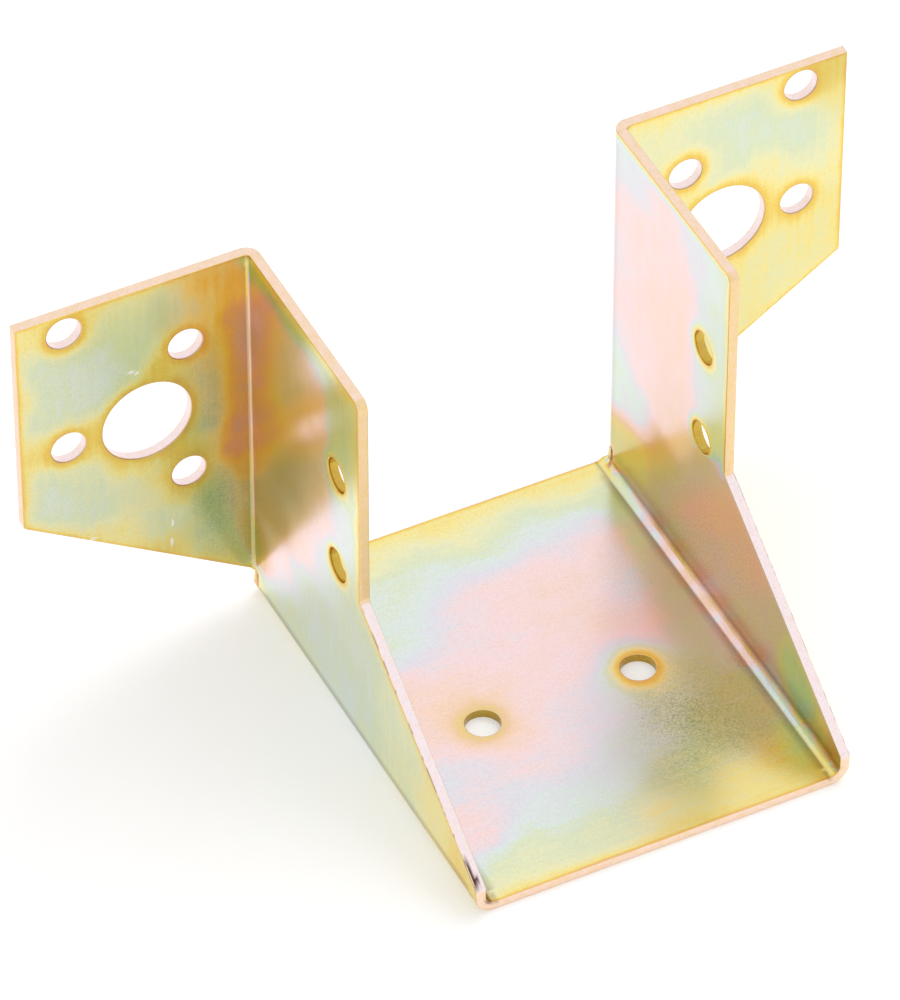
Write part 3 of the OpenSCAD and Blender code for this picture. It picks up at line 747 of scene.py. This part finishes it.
class Tree:
    """A material's or world's node tree, with short ways to add and join nodes."""

    def __init__(self, owner):
        owner.use_nodes = True
        self.tree = owner.node_tree
        self.tree.nodes.clear()

    def add(self, kind, settings=None, **inputs):
        """Adds a node. Inputs are values or other nodes' output sockets, by name or _index."""
        node = self.tree.nodes.new(kind)
        for key, value in (settings or {}).items():
            setattr(node, key, value)
        for key, value in inputs.items():
            socket = node.inputs[int(key[1:]) if key[0] == "_" else key.replace("_", " ")]
            if isinstance(value, bpy.types.NodeSocket):
                self.tree.links.new(value, socket)
            else:
                socket.default_value = value
        return node

    def math(self, operation, a, b, c=None):
        """The output of a Math node. The third value is only for MULTIPLY_ADD."""
        node = self.add("ShaderNodeMath", {"operation": operation}, _0=a, _1=b)
        if c is not None:
            node.inputs[2].default_value = c
        return node.outputs[0]

    def swing(self, fac, size):
        """Noise of 0 to 1 turned into a value that swings by size about 0."""
        return self.math("MULTIPLY", self.math("SUBTRACT", fac, 0.5), size)

    def mix(self, fac, a, b, blend="MIX"):
        """The output of a colour Mix node."""
        node = self.add("ShaderNodeMix", {"data_type": "RGBA", "blend_type": blend}, _0=fac, _6=a, _7=b)
        return node.outputs[2]

    def attribute(self, name):
        """The value of one of the mesh's attributes."""
        return self.add("ShaderNodeAttribute", {"attribute_name": name}).outputs["Fac"]

    def noise(self, place, scale, detail):
        """Noise of 0 to 1 whose features are scale millimetres across."""
        node = self.add("ShaderNodeTexNoise", None, Vector=place, Scale=1 / (scale * MM), Detail=detail,
                        Roughness=NOISE_ROUGHNESS)
        return node.outputs["Fac"]

    def ramp(self, fac, stops):
        """The colour at fac between stops of (position, sRGB colour)."""
        node = self.add("ShaderNodeValToRGB", None, Fac=fac)
        elements = node.color_ramp.elements
        while len(elements) < len(stops):
            elements.new(0.5)
        for element, (position, colour) in zip(elements, stops):
            element.position = position
            element.color = linear(colour)
        return node.outputs["Color"]


def scuffs(t, place):
    """Small bright scuffs where the film was rubbed off: 1 there and 0 elsewhere."""
    jag = t.swing(t.noise(place, SCUFF_JAG, SCUFF_JAG_DETAIL), SCUFF_JAG_SWING)
    total = 0.0
    for x, z, half_x, half_z in SCUFFS:
        centre = (x * MM, (back_y - sheet_t) * MM, z * MM)
        off = t.add("ShaderNodeVectorMath", {"operation": "SUBTRACT"}, _0=place, _1=centre).outputs[0]
        sizes = (1 / (half_x * MM), 1 / MM, 1 / (half_z * MM))
        off = t.add("ShaderNodeVectorMath", {"operation": "MULTIPLY"}, _0=off, _1=sizes).outputs[0]
        far = t.add("ShaderNodeVectorMath", {"operation": "LENGTH"}, _0=off).outputs["Value"]
        total = t.math("MAXIMUM", t.math("LESS_THAN", t.math("ADD", far, jag), 1.0), total)
    return total


def plating():
    """Yellow-passivated zinc: interference colours by film thickness, fine grain, and sheared edges."""
    material = bpy.data.materials.new("yellow_passivated_zinc")
    t = Tree(material)
    place = t.add("ShaderNodeTexCoord").outputs["Object"]
    mottle = t.noise(place, MOTTLE, MOTTLE_DETAIL)
    grain = t.noise(place, GRAIN, GRAIN_DETAIL)
    speck = t.noise(place, SPECK, SPECK_DETAIL)
    thickness, drab, wall = t.attribute("film"), t.attribute("drab"), t.attribute("wall")

    rolled = t.add("ShaderNodeCombineXYZ", None, X=t.math("MULTIPLY", t.attribute("across"), MM),
                   Y=t.math("MULTIPLY", t.attribute("along"), MM * ROLLING)).outputs[0]
    drawn = t.swing(t.noise(rolled, ROLLED, ROLLED_DETAIL), ROLLED_FILM)
    uneven = t.math("ADD", t.swing(mottle, MOTTLE_FILM), t.swing(grain, GRAIN_FILM))
    uneven = t.math("ADD", t.math("ADD", thickness, drawn), uneven)
    order = t.math("MULTIPLY", uneven, 1 / FILM_TOP)
    clear = t.ramp(order, [(p / FILM_TOP, c) for p, c in FILM_COLOURS])
    dull = t.ramp(order, [(p / FILM_TOP, c) for p, c in DRAB_COLOURS])
    spots = t.math("MULTIPLY", t.math("SUBTRACT", speck, 0.5), t.attribute("pepper"))
    spots = t.math("MULTIPLY", spots, t.math("MULTIPLY", t.math("ADD", drab, SPOT_BASE), SPOT_GAIN))
    # Drabness mixes in the dull colours: the coat's own, and painted shade and painted reflection from the
    # patches.
    colour = t.mix(t.math("ADD", drab, spots), clear, dull)

    tone = t.math("ADD", thickness, t.swing(t.noise(place, SHEAR, SHEAR_DETAIL), SHEAR_TONE))
    colour = t.mix(wall, colour, t.ramp(tone, EDGE_COLOURS))
    # The dark marks and the painted shade, in one dark brown.
    colour = t.mix(t.attribute("dark"), colour, linear(MARK_AND_SHADE_COLOUR))
    colour = t.mix(1.0, colour, t.ramp(speck, SPECK_SHADES), "MULTIPLY")
    worn = scuffs(t, place)
    colour = t.mix(worn, colour, linear(SCUFF_COLOUR))

    bare = t.math("MULTIPLY", t.math("ADD", wall, worn), BARE_ROUGH)
    rough = t.math("ADD", t.math("MULTIPLY_ADD", mottle, MOTTLE_ROUGH, SMOOTHEST), bare)
    height = t.math("ADD", grain, t.math("MULTIPLY", speck, SPECK_BUMP))
    bump = t.add("ShaderNodeBump", None, Height=height, Strength=BUMP_STRENGTH, Distance=BUMP_M)
    shader = t.add("ShaderNodeBsdfPrincipled", None, Base_Color=colour, Metallic=1.0, Roughness=rough,
                   Normal=bump.outputs["Normal"])
    t.add("ShaderNodeOutputMaterial", None, Surface=shader.outputs[0])
    return material


# ---- Floor, light and camera ----
# Camera, glossy and transmission rays see a brighter background than the light that falls on things.
WHITE = (1, 1, 1, 1)
WORLD_LIGHT, WORLD_SEEN_MORE = 0.7, 0.3
FLOOR_COLOUR, FLOOR_SEEN_GLOW = (0.82, 0.82, 0.82, 1), 0.36
FLOOR_HALF = 3.0                                       # metres, as all lengths here
LAMP_SIZE, LAMP_WATTS = 1.2, 8.0
LAMP_PLACE, LAMP_TARGET = Vector((0.7, 0.5, 1.3)), Vector((0, 0, 0.05))
CAMERA_AZIMUTH, CAMERA_ELEVATION = -26.66, 44.17       # degrees
CAMERA_DISTANCE = 1.888
CAMERA_TARGET = Vector((-0.0249, 0.0, 0.0696))
CAMERA_LENS_MM, SENSOR_MM = 304.5, 36.0
CLIP_NEAR, CLIP_FAR = 0.05, 20


def seen(t):
    """1 for camera, glossy and transmission rays, and 0 for others."""
    path = t.add("ShaderNodeLightPath").outputs
    total = t.math("ADD", path["Is Camera Ray"], path["Is Glossy Ray"])
    return t.math("MINIMUM", t.math("ADD", total, path["Is Transmission Ray"]), 1.0)


def white_world():
    """The white surroundings."""
    world = bpy.data.worlds.new("studio")
    bpy.context.scene.world = world
    t = Tree(world)
    strength = t.math("MULTIPLY_ADD", seen(t), WORLD_SEEN_MORE, WORLD_LIGHT)
    back = t.add("ShaderNodeBackground", None, Color=WHITE, Strength=strength)
    t.add("ShaderNodeOutputWorld", None, Surface=back.outputs[0])


def white_floor():
    """The material of the floor, which keeps the part's shadow."""
    material = bpy.data.materials.new("white_floor")
    t = Tree(material)
    paper = t.add("ShaderNodeBsdfDiffuse", None, Color=FLOOR_COLOUR)
    glow = t.math("MULTIPLY", seen(t), FLOOR_SEEN_GLOW)
    glow = t.add("ShaderNodeEmission", None, Color=WHITE, Strength=glow)
    both = t.add("ShaderNodeAddShader", None, _0=paper.outputs[0], _1=glow.outputs[0])
    t.add("ShaderNodeOutputMaterial", None, Surface=both.outputs[0])
    return material


def studio():
    """A white world, a pale floor and a large soft lamp."""
    white_world()

    half = FLOOR_HALF
    mesh = bpy.data.meshes.new("floor")
    corners = [(-half, -half, 0), (half, -half, 0), (half, half, 0), (-half, half, 0)]
    mesh.from_pydata(corners, [], [(0, 1, 2, 3)])
    mesh.materials.append(white_floor())
    floor = place_in_scene("floor", mesh)

    lamp = bpy.data.lights.new("softbox", "AREA")
    lamp.shape = "RECTANGLE"
    lamp.size = lamp.size_y = LAMP_SIZE
    lamp.energy = LAMP_WATTS
    softbox = place_in_scene("softbox", lamp)
    softbox.location = LAMP_PLACE
    softbox.rotation_euler = (LAMP_TARGET - LAMP_PLACE).to_track_quat("-Z", "Y").to_euler()
    softbox.visible_glossy = False         # a metal face would show it as a hard bright panel


def camera():
    """The camera, which looks down at the seat from the front left."""
    a, e = math.radians(CAMERA_AZIMUTH), math.radians(CAMERA_ELEVATION)
    back = Vector((math.sin(a) * math.cos(e), -math.cos(a) * math.cos(e), math.sin(e)))
    data = bpy.data.cameras.new("camera")
    data.lens, data.sensor_width = CAMERA_LENS_MM, SENSOR_MM
    data.clip_start, data.clip_end = CLIP_NEAR, CLIP_FAR
    cam = place_in_scene("camera", data)
    cam.location = CAMERA_TARGET + back * CAMERA_DISTANCE
    cam.rotation_euler = back.to_track_quat("Z", "Y").to_euler()
    bpy.context.scene.camera = cam


sheet = build_sheet()
sheet.data.materials.append(plating())
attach(sheet, "root")
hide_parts("hanger")
studio()
camera()
bpy.context.scene.view_settings.view_transform = "Standard"
